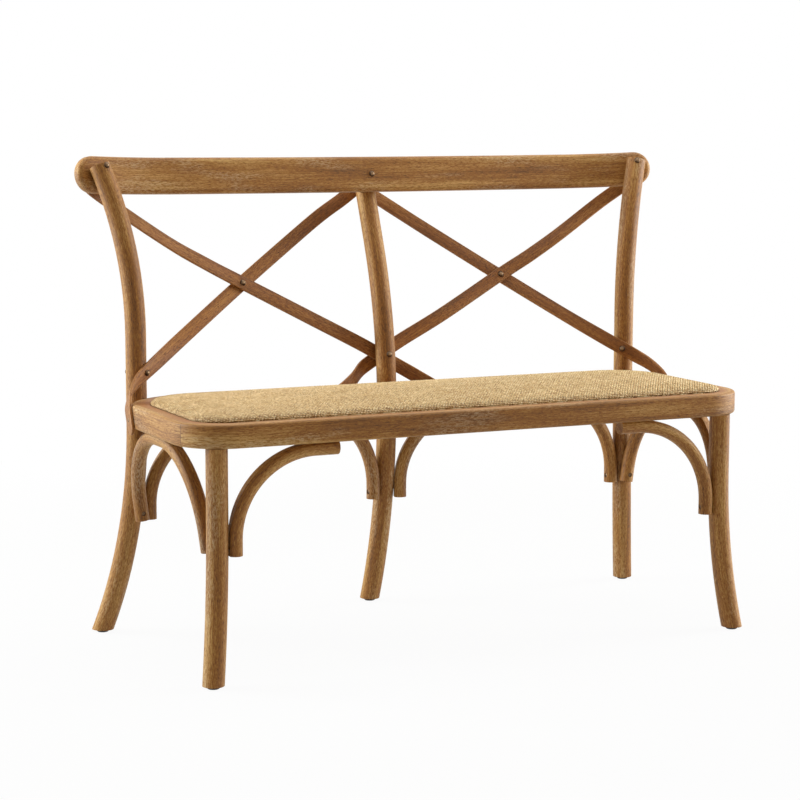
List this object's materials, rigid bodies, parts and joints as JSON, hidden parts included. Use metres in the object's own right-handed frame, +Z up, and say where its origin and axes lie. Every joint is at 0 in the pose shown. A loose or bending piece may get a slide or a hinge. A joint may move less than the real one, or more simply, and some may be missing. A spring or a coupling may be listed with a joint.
{
  "type": "bench",
  "caption": "Bentwood bench with a woven rattan seat panel, a low open back of crossed wooden straps under a curved crest rail, and splayed round legs with arched braces.",
  "frame": {"origin": "on the floor, at the middle of the bench's bounding box seen from above", "axes": "+X along the bench to the sitter's left as seen from the front, which is the picture's right; +Y from the front edge of the seat to the back; +Z up"},
  "size_m": [1.2104, 0.6025, 0.8832],
  "materials": {
    "timber": "weathered oiled hardwood",
    "strap_timber": "darker bent lath",
    "board": "plain board",
    "cane": "woven natural rattan",
    "metal": "antiqued bronze plating",
    "glide": "moulded"
  },
  "bodies": {
    "root": {"seat_frame": "timber", "seat_board": "board", "rattan_panel": "cane", "front_leg_left": "timber", "front_leg_right": "timber", "end_post_left": "timber", "end_post_right": "timber", "middle_post": "timber", "crest_rail": "timber", "front_strap_left": "strap_timber", "front_strap_right": "strap_timber", "rear_strap_left": "strap_timber", "rear_strap_right": "strap_timber", "side_hoop_left": "timber", "side_hoop_right": "timber", "front_bracket_left": "timber", "front_bracket_right": "timber", "end_bracket_left": "timber", "end_bracket_right": "timber", "middle_bracket_left": "timber", "middle_bracket_right": "timber", "crest_studs": "metal", "crossing_rivets": "metal", "post_rivets": "metal", "strap_screws": "metal", "bracket_screws": "metal", "seat_bolts": "metal", "glides": "glide"}
  },
  "joints": []
}
